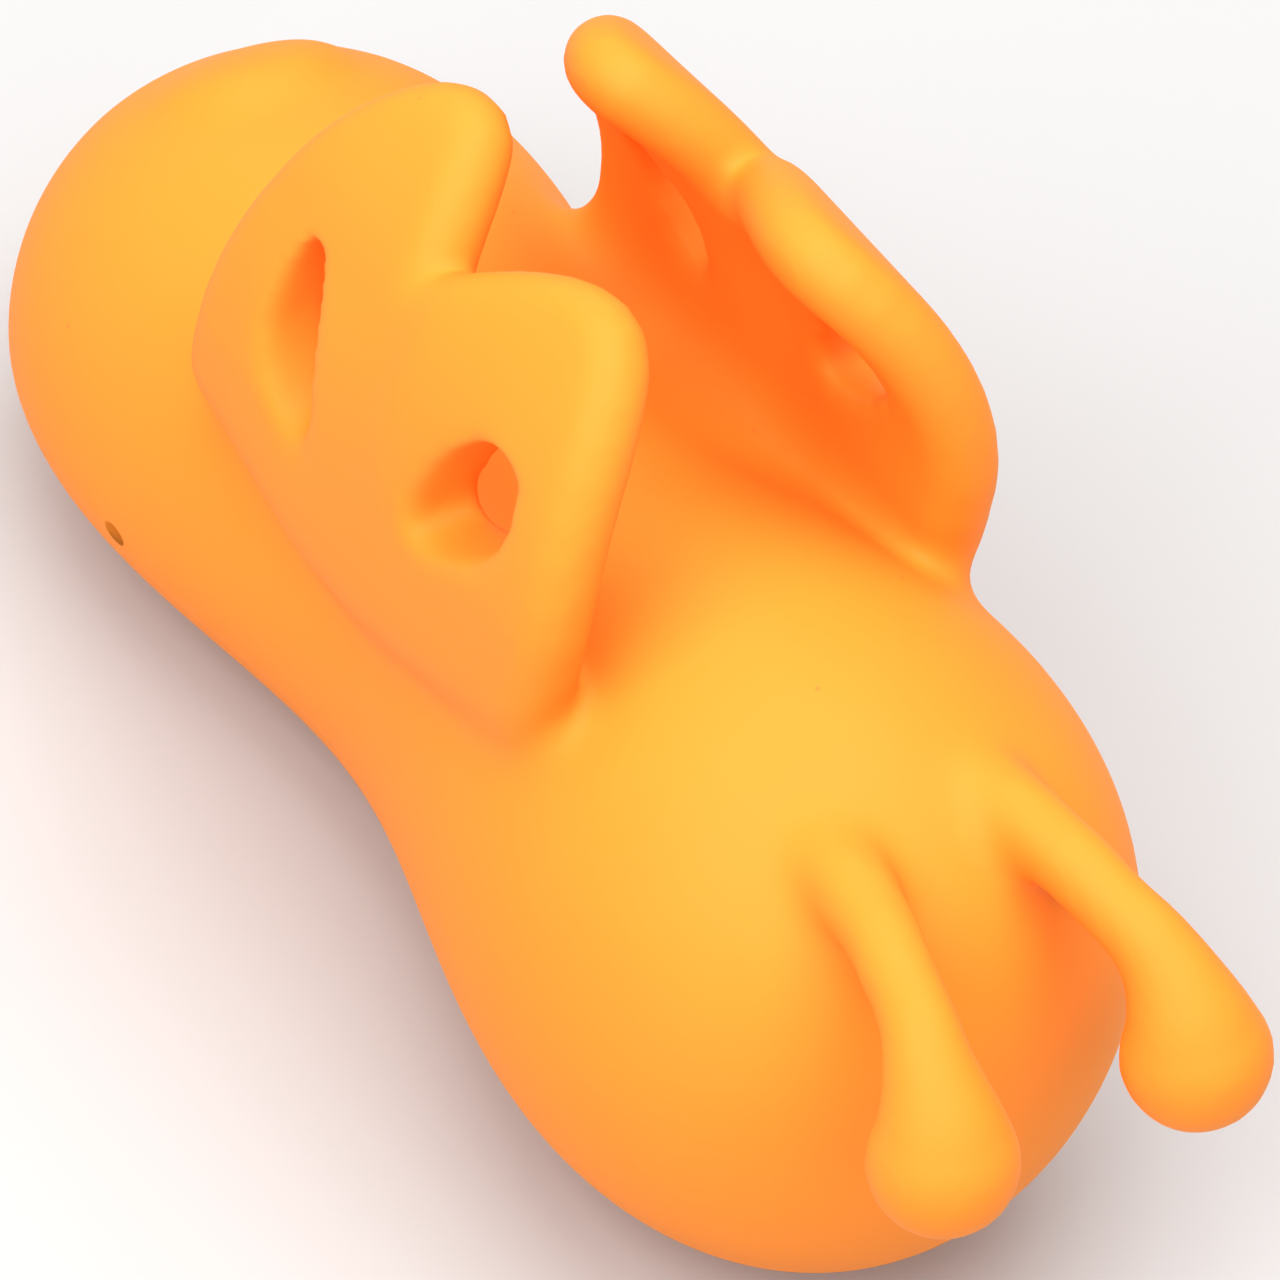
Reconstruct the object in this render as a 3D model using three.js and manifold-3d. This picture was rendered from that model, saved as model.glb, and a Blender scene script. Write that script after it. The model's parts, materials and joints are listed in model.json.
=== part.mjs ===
// Butterfly-shaped silicone massager, as an assembly of its separate pieces.
// Units are millimetres. The pieces are drawn in the body's own frame: +X along the body axis
// towards the antennae, +Y to the left, +Z up, with the origin on the axis halfway along the body.
// The whole assembly is then tipped nose-up so that both lobes of the belly rest on the ground.
import * as THREE from 'three';
import { mergeVertices } from 'three/addons/utils/BufferGeometryUtils.js';
import Module from 'manifold-3d';

const wasm = await Module();
wasm.setup();

// ---- Driving dimensions ----------------------------------------------------------------------

// Peanut-shaped body: two lobes joined by a waist.
const bodyHalfLength = 42.8;
const bodyHalfWidth = 19.8;
const bodyTopHeight = 20.5;
const bodyBellyDepth = 17.75;
const endFullness = { power: 3.56, root: 2.2 };
const noseTaper = { width: 0.038, top: 0.048, belly: 0.336 };
const waist = { x: -2.8, spread: 21, width: 0.346, top: 0.235, belly: 0.149 };

// Laid on its belly: the tip of the body axis, and how much the belly is flattened.
const restTilt = THREE.MathUtils.degToRad(7.6);
const restHeight = 15.55;

// Layers, as insets from the outer surface.
const gap = 0.3;
const skinInset = 2.2;
const shellInset = skinInset + gap;
const shellInnerInset = shellInset + 1.6;
const contentsInset = shellInnerInset + gap;
const splitHeight = 2;
const gasketThickness = 1;

// Wings: cupped sheets that stand on the waist, pierced by two teardrop holes each.
const wingThickness = 4.4;
const wingRootThickness = 5.4;
const wingBulge = { y: 12.6, z: 19.5, upperRadius: 19.5, lowerRadius: 40 };
const rearLobeTurn = { amount: 1.6, frontX: 4.5, length: 18, fromZ: 18, height: 9 };
const wingTop = 34.6;
const wingHinge = { y: 12.4, z: 15.5 };
const wingRootTop = wingHinge.z - 0.9;

// Antennae: tapering stalks with round bulbs, which arch past the nose.
const antennaHinge = new THREE.Vector3(35.5, 5.4, 15.2);
const antennaRootRadius = 2.25;
const antennaFlex = { up: 25, down: 20 };
const bulbRadius = 3.95;

// Push button at the tail, and the parts stacked under it, as depths below its crown.
const buttonSeat = new THREE.Vector3(-34, 0, 14.75);
const buttonTilt = THREE.MathUtils.degToRad(38);
const buttonRadius = 5;

// Charging pinhole on the right flank.
const port = { x: -20.6, z: -2.7, pinholeRadius: 0.8, jackRadius: 2.7 };

// Motor, battery and board.
const motor = { rear: 9, front: 26, radius: 6, shaftRadius: 1, z: -1.5 };
const battery = { x: -11, length: 30, width: 12, height: 6, z: -3.5 };
const board = { x: -11, length: 28, width: 13, thickness: 1, z: 3.2 };
const leadRadius = 0.5;

// ---- Materials -------------------------------------------------------------------------------

function material(color, roughness, metalness = 0) {
  return () => new THREE.MeshStandardMaterial({ color, roughness, metalness });
}
const silicone = material(0xff9b2e, 0.62);
const whitePlastic = material(0xece8df, 0.45);
const blackPlastic = material(0x1c1c1e, 0.4);
const blackRubber = material(0x2a2a2a, 0.85);
const greyFoam = material(0x6f7478, 0.95);
const steel = material(0xb9bcc0, 0.3, 1);
const tungsten = material(0x8d8f94, 0.4, 1);
const copper = material(0xb87340, 0.4, 1);
const brass = material(0xc9a24a, 0.35, 1);
const cellFilm = material(0xb8bec8, 0.35, 0.6);
const boardGreen = material(0x1f6b3c, 0.5);
const clearLens = material(0xf4f6ff, 0.15);
const redLead = material(0xc0271f, 0.5);
const blackLead = material(0x151515, 0.5);

// ---- Solids: closed meshes, and cuts and joins between them ------------------------------------

// A closed geometry, with shared corners merged, as a solid that can be cut and joined.
function solid(geometry) {
  const bare = geometry.index ? geometry.toNonIndexed() : geometry.clone();
  bare.deleteAttribute('normal');
  bare.deleteAttribute('uv');
  const merged = mergeVertices(bare, 1e-4);
  const vertProperties = new Float32Array(merged.attributes.position.array);
  const corners = merged.index.array;
  const triVerts = [];
  for (let i = 0; i < corners.length; i += 3) {
    const [a, b, c] = [corners[i], corners[i + 1], corners[i + 2]];
    if (a !== b && b !== c && c !== a) triVerts.push(a, b, c);
  }
  return new wasm.Manifold(
    new wasm.Mesh({ numProp: 3, vertProperties, triVerts: new Uint32Array(triVerts) }),
  );
}

// The solid as a three.js geometry.
function geometryOf(shape) {
  const mesh = shape.getMesh();
  const geometry = new THREE.BufferGeometry();
  const positions = new Float32Array(mesh.vertProperties);
  geometry.setAttribute('position', new THREE.BufferAttribute(positions, 3));
  geometry.setIndex(new THREE.BufferAttribute(new Uint32Array(mesh.triVerts), 1));
  geometry.computeVertexNormals();
  return geometry;
}

// A closed surface through rings of points, ending on a point at each end.
function loft(startPoint, rings, endPoint) {
  const positions = [];
  const addTriangle = (a, b, c) => positions.push(...a.toArray(), ...b.toArray(), ...c.toArray());
  const around = rings[0].length;
  for (let j = 0; j < around; j += 1) {
    const next = (j + 1) % around;
    addTriangle(startPoint, rings[0][next], rings[0][j]);
    addTriangle(endPoint, rings.at(-1)[j], rings.at(-1)[next]);
    for (let i = 0; i + 1 < rings.length; i += 1) {
      addTriangle(rings[i][j], rings[i][next], rings[i + 1][j]);
      addTriangle(rings[i][next], rings[i + 1][next], rings[i + 1][j]);
    }
  }
  const geometry = new THREE.BufferGeometry();
  geometry.setAttribute('position', new THREE.Float32BufferAttribute(positions, 3));
  return geometry;
}

function cylinderAlongX(radius, fromX, toX, y, z, sides = 20) {
  const geometry = new THREE.CylinderGeometry(radius, radius, toX - fromX, sides);
  return geometry.rotateZ(-Math.PI / 2).translate((fromX + toX) / 2, y, z);
}

function cylinderAlongY(radius, fromY, toY, x, z, sides = 16) {
  const geometry = new THREE.CylinderGeometry(radius, radius, toY - fromY, sides);
  return geometry.translate(x, (fromY + toY) / 2, z);
}

function box(length, width, height, x, y, z) {
  return new THREE.BoxGeometry(length, width, height).translate(x, y, z);
}

function tube(points, radius, steps = 9, sides = 8) {
  const section = new THREE.Shape();
  for (let i = 0; i < sides; i += 1) {
    const angle = (i / sides) * 2 * Math.PI;
    const corner = [radius * Math.cos(angle), radius * Math.sin(angle)];
    if (i === 0) section.moveTo(...corner);
    else section.lineTo(...corner);
  }
  section.closePath();
  const path = new THREE.CatmullRomCurve3(points.map((point) => new THREE.Vector3(...point)));
  return new THREE.ExtrudeGeometry(section, { steps, bevelEnabled: false, extrudePath: path });
}

// The same geometry on the other side of the body: mirrored in Y, and turned outside out again.
function mirrored(geometry) {
  const flat = geometry.index ? geometry.toNonIndexed() : geometry.clone();
  const corners = flat.attributes.position;
  const other = corners.clone();
  for (let i = 0; i < corners.count; i += 1) {
    const source = i - (i % 3) + (2 - (i % 3));
    other.setXYZ(i, corners.getX(source), -corners.getY(source), corners.getZ(source));
  }
  const result = new THREE.BufferGeometry();
  result.setAttribute('position', other);
  return result;
}

// ---- Body form -------------------------------------------------------------------------------

// Half width, top height and belly depth of the body at x, for a surface inset from the outer one.
function bodySection(x, inset) {
  const along = x / bodyHalfLength;
  const end = 1 - Math.abs(x / (bodyHalfLength - inset)) ** endFullness.power;
  const fullness = Math.max(end, 0) ** (1 / endFullness.root);
  const pinch = Math.exp(-(((x - waist.x) / waist.spread) ** 2));
  const size = (base, taper, depth) =>
    (base * (1 + taper * along) * (1 - depth * pinch) - inset) * fullness;
  return {
    width: size(bodyHalfWidth, noseTaper.width, waist.width),
    top: size(bodyTopHeight, noseTaper.top, waist.top),
    belly: size(bodyBellyDepth, noseTaper.belly, waist.belly),
  };
}

function bodyForm(inset, stations, sides) {
  const halfLength = bodyHalfLength - inset;
  const rings = [];
  for (let i = 1; i < stations; i += 1) {
    const x = -halfLength * Math.cos((i / stations) * Math.PI);
    const { width, top, belly } = bodySection(x, inset);
    const ring = [];
    for (let j = 0; j < sides; j += 1) {
      const angle = (j / sides) * 2 * Math.PI;
      const height = Math.sin(angle) > 0 ? top : belly;
      ring.push(new THREE.Vector3(x, width * Math.cos(angle), height * Math.sin(angle)));
    }
    rings.push(ring);
  }
  return loft(new THREE.Vector3(-halfLength, 0, 0), rings, new THREE.Vector3(halfLength, 0, 0));
}

// ---- Wings -----------------------------------------------------------------------------------

// Distance of the wing's middle surface from the body's plane of symmetry. The sheet curls inward
// towards its top, and its rear lobe also turns in.
function wingSide(x, z) {
  const { clamp } = THREE.MathUtils;
  const radius = z > wingBulge.z ? wingBulge.upperRadius : wingBulge.lowerRadius;
  const curl = radius - Math.sqrt(radius ** 2 - (z - wingBulge.z) ** 2);
  const rearward = clamp((rearLobeTurn.frontX - x) / rearLobeTurn.length, 0, 1) ** 0.6;
  const upward = clamp((z - rearLobeTurn.fromZ) / rearLobeTurn.height, 0, 1);
  return wingBulge.y - curl - rearLobeTurn.amount * rearward * upward;
}

// A flat plate bent onto the wing's middle surface, between two heights.
function wingPlate(thickness, fromZ, toZ, steps) {
  const [rearX, frontX] = [-17, 21];
  const plate = new THREE.BoxGeometry(frontX - rearX, toZ - fromZ, thickness, 9, steps, 1);
  plate.translate((rearX + frontX) / 2, (fromZ + toZ) / 2, 0);
  const corners = plate.attributes.position;
  for (let i = 0; i < corners.count; i += 1) {
    const [x, z, offset] = [corners.getX(i), corners.getY(i), corners.getZ(i)];
    const slope = (wingSide(x, z + 0.01) - wingSide(x, z - 0.01)) / 0.02;
    const inward = offset / Math.hypot(1, slope);
    corners.setXYZ(i, x, wingSide(x, z) - inward, z + slope * inward);
  }
  return plate;
}

// A closed outline drawn in X and Z, as a prism through the left half of the body.
function prismThroughWing(shape) {
  const settings = { depth: 30, bevelEnabled: false, curveSegments: 5 };
  return new THREE.ExtrudeGeometry(shape, settings).rotateX(Math.PI / 2).translate(0, 30, 0);
}

// Side outline of a wing: rear lobe, notch and front lobe, down to the root.
function wingOutline() {
  const shape = new THREE.Shape();
  shape.moveTo(-14.6, 0);
  shape.lineTo(-14.8, 19);
  shape.bezierCurveTo(-15.2, 24.6, -14, 28.8, -11.4, 31.4);
  shape.bezierCurveTo(-8.4, 34.4, -4.6, 36.2, -1.4, 35.6);
  shape.bezierCurveTo(1.2, 35, 2.5, 32.6, 2.4, 30.2);
  shape.bezierCurveTo(5, 32.6, 10, 36.9, 13.8, 36.1);
  shape.bezierCurveTo(17.8, 35.2, 19.9, 27.5, 19.8, 21);
  shape.lineTo(19, 0);
  shape.closePath();
  return shape;
}

function frontHole() {
  const shape = new THREE.Shape();
  shape.moveTo(6.4, 17.8);
  shape.bezierCurveTo(8.4, 16.2, 17, 22.4, 16.6, 27);
  shape.bezierCurveTo(15.9, 30.8, 11.6, 30.3, 9.6, 26.6);
  shape.bezierCurveTo(8.2, 23.8, 5, 19.8, 6.4, 17.8);
  return shape;
}

function rearHole() {
  const shape = new THREE.Shape();
  shape.moveTo(-3.4, 17.4);
  shape.bezierCurveTo(-1.2, 17.4, -1.2, 22.5, -2.4, 25);
  shape.bezierCurveTo(-4, 29.4, -7.4, 29.4, -8.8, 25);
  shape.bezierCurveTo(-10, 21, -6, 17.2, -3.4, 17.4);
  return shape;
}

const hingeBar = (radius) => cylinderAlongX(radius, -30, 30, wingHinge.y, wingHinge.z);

function leftWing() {
  return solid(wingPlate(wingThickness, wingHinge.z, wingTop, 8))
    .add(solid(hingeBar(wingThickness / 2)))
    .intersect(solid(prismThroughWing(wingOutline())))
    .subtract(solid(prismThroughWing(frontHole())))
    .subtract(solid(prismThroughWing(rearHole())));
}

// The fixed foot of a wing, a web that grows out of the waist up to the line where it bends.
function leftWingRoot() {
  return solid(wingPlate(wingRootThickness, 0, wingRootTop, 3)).intersect(
    solid(prismThroughWing(wingOutline())),
  );
}

// ---- Antennae --------------------------------------------------------------------------------

// A round stalk of changing radius along a smooth path, closed at both ends.
function stalk(points, radii, steps, sides) {
  const path = new THREE.CatmullRomCurve3(points);
  const frames = path.computeFrenetFrames(steps, false);
  const rings = [];
  for (let i = 0; i <= steps; i += 1) {
    const place = (i / steps) * (radii.length - 1);
    const from = Math.min(Math.floor(place), radii.length - 2);
    const radius = THREE.MathUtils.lerp(radii[from], radii[from + 1], place - from);
    const centre = path.getPoint(i / steps);
    const ring = [];
    for (let j = 0; j < sides; j += 1) {
      const angle = (j / sides) * 2 * Math.PI;
      ring.push(
        centre
          .clone()
          .addScaledVector(frames.normals[i], radius * Math.cos(angle))
          .addScaledVector(frames.binormals[i], radius * Math.sin(angle)),
      );
    }
    rings.push(ring);
  }
  return loft(points[0], rings, points.at(-1));
}

const antennaPath = [
  antennaHinge,
  new THREE.Vector3(38.2, 5.9, 14.9),
  new THREE.Vector3(41.2, 6.5, 13.5),
  new THREE.Vector3(44.6, 7.2, 11.5),
  new THREE.Vector3(47.4, 7.5, 9.6),
  new THREE.Vector3(50, 7.7, 7.2),
];

const ball = (centre, radius, sides = 12) =>
  new THREE.SphereGeometry(radius, sides, sides / 2).translate(...centre.toArray());

function leftAntenna() {
  return solid(stalk(antennaPath, [antennaRootRadius, 2.05, 1.75, 1.75, 2.3, 3], 10, 10))
    .add(solid(ball(antennaHinge, antennaRootRadius)))
    .add(solid(ball(antennaPath.at(-1), bulbRadius, 16)));
}

// The fixed ridge that runs out of the top of the front lobe to where the antenna bends.
function leftAntennaRoot() {
  const ridge = [
    new THREE.Vector3(25, 3.6, 15.6),
    new THREE.Vector3(29, 4.3, 16.2),
    new THREE.Vector3(33, 5, 15.9),
    antennaHinge.clone(),
  ];
  return solid(stalk(ridge, [2.2, 2.3, 2.4, 2.4], 6, 12));
}

// Space that the bending foot of the antenna needs, from fully up to fully down.
function leftAntennaClearance() {
  const radius = antennaRootRadius + gap + 0.05;
  let space = solid(ball(antennaHinge, radius));
  for (const degrees of [-antennaFlex.up, 0, antennaFlex.down]) {
    const sweep = stalk(antennaPath.slice(0, 3), [radius, radius, radius], 4, 12);
    sweep.translate(...antennaHinge.clone().negate().toArray());
    sweep.rotateY(THREE.MathUtils.degToRad(degrees));
    sweep.translate(...antennaHinge.toArray());
    space = space.add(solid(sweep));
  }
  return space;
}

// ---- Button stack ----------------------------------------------------------------------------

// A profile of [radius, depth below the crown] pairs, turned about the button's axis.
function onButtonAxis(geometry) {
  return geometry
    .rotateY(-buttonTilt)
    .translate(buttonSeat.x, buttonSeat.y, buttonSeat.z);
}

// Depth counts down from the body's surface at the button, so geometry is built with +Z outwards.
function turnedOnButtonAxis(profile, sides = 24) {
  const outline = profile.map(([radius, depth]) => new THREE.Vector2(radius, -depth));
  return onButtonAxis(new THREE.LatheGeometry(outline.reverse(), sides).rotateX(Math.PI / 2));
}

const buttonWell = (radius, fromDepth, toDepth) =>
  turnedOnButtonAxis([[0, fromDepth], [radius, fromDepth], [radius, toDepth], [0, toDepth]]);

function boxOnButtonAxis(length, width, depth, fromDepth, along = 0, across = 0) {
  return onButtonAxis(box(length, width, depth, along, across, -fromDepth - depth / 2));
}

// ---- Assembly --------------------------------------------------------------------------------

const assembly = new THREE.Group();

function addPiece(name, shape, makeMaterial) {
  const whole = shape instanceof THREE.BufferGeometry ? solid(shape) : shape;
  const mesh = new THREE.Mesh(geometryOf(whole), makeMaterial());
  mesh.name = name;
  assembly.add(mesh);
}

function addPair(name, shape, makeMaterial) {
  const left = geometryOf(shape);
  addPiece(`${name}_left`, left.clone(), makeMaterial);
  addPiece(`${name}_right`, mirrored(left), makeMaterial);
}

const bothSides = (shape) => shape.add(solid(mirrored(geometryOf(shape))));

// Silicone skin: the body with the fixed feet of the wings and antennae, hollow for the core.
function siliconeSkin() {
  const belowRest = box(160, 80, 20, 0, 0, -10).translate(0, 0, -restHeight).rotateY(restTilt);
  const pinhole = cylinderAlongY(port.pinholeRadius, -25, -10, port.x, port.z, 12);
  return solid(bodyForm(0, 28, 32))
    .add(bothSides(leftWingRoot()))
    .add(bothSides(leftAntennaRoot()))
    .subtract(bothSides(solid(hingeBar(wingThickness / 2 + gap))))
    .subtract(bothSides(leftAntennaClearance()))
    .subtract(solid(belowRest))
    .subtract(solid(bodyForm(skinInset, 18, 24)))
    .subtract(solid(pinhole))
    .subtract(solid(buttonWell(buttonRadius + gap, -5, 8)));
}

// Hard core inside the skin, in two halves with a gasket between them.
function coreWall() {
  return solid(bodyForm(shellInset, 18, 24)).subtract(solid(bodyForm(shellInnerInset, 16, 20)));
}

function coreTop() {
  const seam = splitHeight + gasketThickness / 2 + gap;
  return coreWall()
    .intersect(solid(box(120, 80, 40, 0, 0, seam + 20)))
    .subtract(solid(buttonWell(4, -5, 9)));
}

function coreBottom() {
  const seam = splitHeight - gasketThickness / 2 - gap;
  const jackHole = cylinderAlongY(port.jackRadius + gap, -25, -5, port.x, port.z);
  return coreWall()
    .intersect(solid(box(120, 80, 40, 0, 0, seam - 20)))
    .subtract(solid(jackHole));
}

function coreGasket() {
  return coreWall().intersect(solid(box(120, 80, gasketThickness, 0, 0, splitHeight)));
}

addPiece('silicone_skin', siliconeSkin(), silicone);
addPair('wing', leftWing(), silicone);
addPair('antenna', leftAntenna(), silicone);
addPiece('core_shell_top', coreTop(), whitePlastic);
addPiece('core_shell_bottom', coreBottom(), whitePlastic);
addPiece('core_gasket', coreGasket(), blackRubber);

// Button: a soft crowned pad, a hard plunger under it, and the switch that the plunger presses.
const padBottom = 1.9;
const plungerTop = padBottom + gap;
const plungerBottom = 5.2;
const stemTop = plungerBottom + gap;
const stemBottom = 7.6;
const switchTop = 6.6;
const switchHeight = 3.4;
const switchBoardTop = switchTop + switchHeight + gap;
addPiece(
  'button_pad',
  turnedOnButtonAxis([
    [0, -0.9], [2.5, -0.75], [4, -0.35], [buttonRadius, 0.5], [buttonRadius, padBottom],
    [0, padBottom],
  ]),
  silicone,
);
addPiece(
  'button_plunger',
  turnedOnButtonAxis([
    [0, plungerTop], [3.5, plungerTop], [3.5, 3.4], [2, 3.8], [2, plungerBottom],
    [0, plungerBottom],
  ]),
  whitePlastic,
);
addPiece('switch_stem', buttonWell(1.2, stemTop, stemBottom), blackPlastic);
addPiece(
  'switch_housing',
  solid(boxOnButtonAxis(6, 6, switchHeight, switchTop)).subtract(
    solid(buttonWell(1.2 + gap, switchTop - 1, stemBottom + 0.8)),
  ),
  blackPlastic,
);
addPiece('switch_board', boxOnButtonAxis(11, 12, 1, switchBoardTop), boardGreen);
addPiece('status_led', boxOnButtonAxis(3, 1.6, 1.2, switchBoardTop - 1.2 - gap, 0, 4.6), clearLens);

// Motor: can and end cap, rotor and shaft inside, and an eccentric weight on the shaft's end.
const { rear, front, radius: canRadius, shaftRadius } = motor;
const canWall = 0.7;
function turnedOnMotorAxis(profile, sides = 24) {
  const outline = profile.map(([radius, x]) => new THREE.Vector2(radius, x));
  return new THREE.LatheGeometry(outline, sides)
    .rotateX(Math.PI / 2)
    .rotateY(Math.PI / 2)
    .translate(0, 0, motor.z);
}
const bearing = shaftRadius + gap;
addPiece(
  'motor_can',
  turnedOnMotorAxis([
    [canRadius, rear], [canRadius, front], [bearing, front], [bearing, front - canWall],
    [canRadius - canWall, front - canWall], [canRadius - canWall, rear], [canRadius, rear],
  ]),
  steel,
);
addPiece(
  'motor_end_cap',
  cylinderAlongX(canRadius, rear - 1.5 - gap, rear - gap, 0, motor.z),
  blackPlastic,
);
addPiece(
  'motor_rotor',
  turnedOnMotorAxis([
    [bearing, rear + 2], [canRadius - 1.4, rear + 2], [canRadius - 1.4, front - 2.5],
    [bearing, front - 2.5], [bearing, rear + 2],
  ]),
  copper,
);
addPiece('motor_shaft', cylinderAlongX(shaftRadius, rear + 0.6, front + 8, 0, motor.z, 12), steel);

function eccentricWeight() {
  const sector = new THREE.Shape();
  sector.moveTo(-5.5, 0);
  sector.absarc(0, 0, 5.5, Math.PI, 2 * Math.PI);
  sector.lineTo(2.2, 0);
  sector.absarc(0, 0, 2.2, 0, Math.PI);
  sector.closePath();
  const hole = new THREE.Path().absarc(0, 0, bearing, 0, 2 * Math.PI);
  sector.holes.push(hole);
  const settings = { depth: 6, bevelEnabled: false, curveSegments: 12 };
  const weight = new THREE.ExtrudeGeometry(sector, settings);
  return weight.rotateX(Math.PI / 2).rotateZ(Math.PI / 2).translate(front + 1.2, 0, motor.z);
}
addPiece('eccentric_weight', eccentricWeight(), tungsten);

const sleeveRadius = canRadius + gap + 1;
addPiece(
  'motor_sleeve',
  turnedOnMotorAxis([
    [canRadius + gap, rear + 3], [sleeveRadius, rear + 3], [sleeveRadius, front - 3],
    [canRadius + gap, front - 3], [canRadius + gap, rear + 3],
  ]),
  blackRubber,
);

const contents = solid(bodyForm(contentsInset, 16, 20));
const cradleLength = front - rear - 8;
addPiece(
  'motor_cradle',
  solid(box(cradleLength, 18, 20, (rear + front) / 2, 0, motor.z - 11))
    .intersect(contents)
    .subtract(solid(cylinderAlongX(sleeveRadius + gap, 0, 40, 0, motor.z, 24))),
  whitePlastic,
);

// Battery on a foam pad, with the circuit board above it.
addPiece(
  'battery_cell',
  box(battery.length, battery.width, battery.height, battery.x, 0, battery.z),
  cellFilm,
);
const padTop = battery.z - battery.height / 2 - gap;
addPiece(
  'battery_foam',
  solid(box(battery.length - 6, battery.width, 12, battery.x, 0, padTop - 6)).intersect(contents),
  greyFoam,
);
addPiece(
  'circuit_board',
  box(board.length, board.width, board.thickness, board.x, 0, board.z),
  boardGreen,
);
const boardTop = board.z + board.thickness / 2 + gap;
addPiece('control_chip', box(5, 5, 1, board.x + 2, 0, boardTop + 0.5), blackPlastic);
addPiece('charger_chip', box(3, 3, 1, board.x - 8, -2.5, boardTop + 0.5), blackPlastic);
addPiece('board_inductor', box(3, 3, 2, board.x - 3, 3, boardTop + 1), blackRubber);

// Charging jack behind the pinhole.
const jackOuter = -11.1;
const jackInner = -6.4;
const jackBarrel = new THREE.LatheGeometry(
  [
    new THREE.Vector2(1.6, jackInner - 1.2), new THREE.Vector2(1.6, jackOuter),
    new THREE.Vector2(port.jackRadius, jackOuter), new THREE.Vector2(port.jackRadius, jackInner),
    new THREE.Vector2(0.8, jackInner), new THREE.Vector2(0.8, jackInner - 1.2),
    new THREE.Vector2(1.6, jackInner - 1.2),
  ],
  16,
);
addPiece('charging_jack', jackBarrel.translate(port.x, 0, port.z), blackPlastic);
const jackPin = cylinderAlongY(0.5, jackOuter + 1, jackInner, port.x, port.z, 10);
addPiece('jack_pin', jackPin, brass);

// Leads, held inside all the way.
const motorLeadStart = rear - 1.5 - 2 * gap;
const boardFront = board.x + board.length / 2 + gap;
const boardRear = board.x - board.length / 2 - gap;
const batteryRear = battery.x - battery.length / 2 - gap;
for (const [name, side, makeMaterial] of [['red', 1, redLead], ['black', -1, blackLead]]) {
  addPiece(
    `motor_lead_${name}`,
    tube([[motorLeadStart, 3 * side, motor.z + 2], [motorLeadStart - 1, 3 * side, motor.z + 2],
      [boardFront + 1, 3 * side, board.z], [boardFront, 3 * side, board.z]], leadRadius),
    makeMaterial,
  );
  addPiece(
    `switch_lead_${name}`,
    tube([[-29.2, 2 * side, 3], [-28.7, 2 * side, 2.3], [boardRear - 1, 2 * side, board.z],
      [boardRear, 2 * side, board.z]], leadRadius),
    makeMaterial,
  );
  addPiece(
    `battery_lead_${name}`,
    tube([[batteryRear, 4.4 * side, battery.z], [batteryRear - 1, 4.4 * side, battery.z],
      [batteryRear - 1.6, 4.4 * side, 0], [boardRear - 1, 4.4 * side, board.z],
      [boardRear, 4.4 * side, board.z]], leadRadius),
    makeMaterial,
  );
}

// Laid on the ground, with the origin under the middle of the whole object.
assembly.rotation.y = -restTilt;
assembly.position.z = restHeight;
const group = new THREE.Group();
group.add(assembly);
group.updateMatrixWorld(true);
const footprint = new THREE.Box3().setFromObject(group, true).getCenter(new THREE.Vector3());
assembly.position.x = -footprint.x;
group.updateMatrixWorld(true);

export default group;
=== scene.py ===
# %% [markdown]
# # A soft butterfly massager
# This is a palm-sized massager in matte orange silicone. One skin covers a peanut-shaped body,
# two cupped wings that stand on its waist, two antennae with round bulbs, and a push button at
# the tail. The hard parts inside come from the CAD model, and the skin is modelled here over
# them. The skin is one smooth casting, so it is modelled as one form, and only then parted
# where it bends.

# %% Load the CAD frame
import json
import math

import bmesh
import bpy
from mathutils import Matrix, Vector, kdtree

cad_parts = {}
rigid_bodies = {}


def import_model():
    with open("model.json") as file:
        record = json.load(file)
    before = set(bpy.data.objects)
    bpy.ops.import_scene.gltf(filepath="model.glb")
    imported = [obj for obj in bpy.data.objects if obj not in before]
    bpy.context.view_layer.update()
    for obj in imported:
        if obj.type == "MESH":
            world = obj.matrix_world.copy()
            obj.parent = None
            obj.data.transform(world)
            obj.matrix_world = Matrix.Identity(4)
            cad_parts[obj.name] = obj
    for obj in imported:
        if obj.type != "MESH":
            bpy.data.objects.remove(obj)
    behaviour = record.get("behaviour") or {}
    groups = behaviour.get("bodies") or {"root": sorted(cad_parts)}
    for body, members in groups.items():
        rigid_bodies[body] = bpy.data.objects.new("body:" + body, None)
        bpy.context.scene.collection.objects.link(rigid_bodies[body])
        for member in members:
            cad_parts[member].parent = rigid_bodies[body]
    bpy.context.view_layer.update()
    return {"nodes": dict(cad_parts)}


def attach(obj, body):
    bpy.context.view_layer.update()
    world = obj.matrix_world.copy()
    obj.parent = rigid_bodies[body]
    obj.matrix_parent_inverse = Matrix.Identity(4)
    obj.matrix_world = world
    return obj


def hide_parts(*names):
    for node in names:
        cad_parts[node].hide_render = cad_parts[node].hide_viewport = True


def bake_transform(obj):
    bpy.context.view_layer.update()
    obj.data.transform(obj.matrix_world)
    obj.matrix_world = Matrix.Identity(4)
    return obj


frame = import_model()

# %% [markdown]
# ## Where things are
# The body is drawn in its own frame, in millimetres: X runs along it towards the antennae, Y
# to the left, Z up. In the CAD model it lies tipped nose-up on its belly. A single matrix takes
# a point from the drawing to the model, so every form can be drawn straight and square, which
# is easier to read than a tilted one.

# %% From the drawing to the model
REST_TILT = math.radians(-7.6)
BODY_CENTRE = Vector((-4.956, 0, 15.55))
drawing_to_model = Matrix.Translation(BODY_CENTRE) @ Matrix.Rotation(REST_TILT, 4, "Y")


def in_model(x, y, z):
    """A point of the drawing, in millimetres, as a point of the model, in metres."""
    return (drawing_to_model @ Vector((x, y, z))) * 0.001


print("body centre in the model:", [round(c, 4) for c in in_model(0, 0, 0)])

# %% [markdown]
# ## The camera
# The camera looks down at the body from its right and a little ahead of it, with the antennae
# at the lower right. A long lens stands far back, so that the near and far ends keep nearly
# the same scale.

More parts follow.
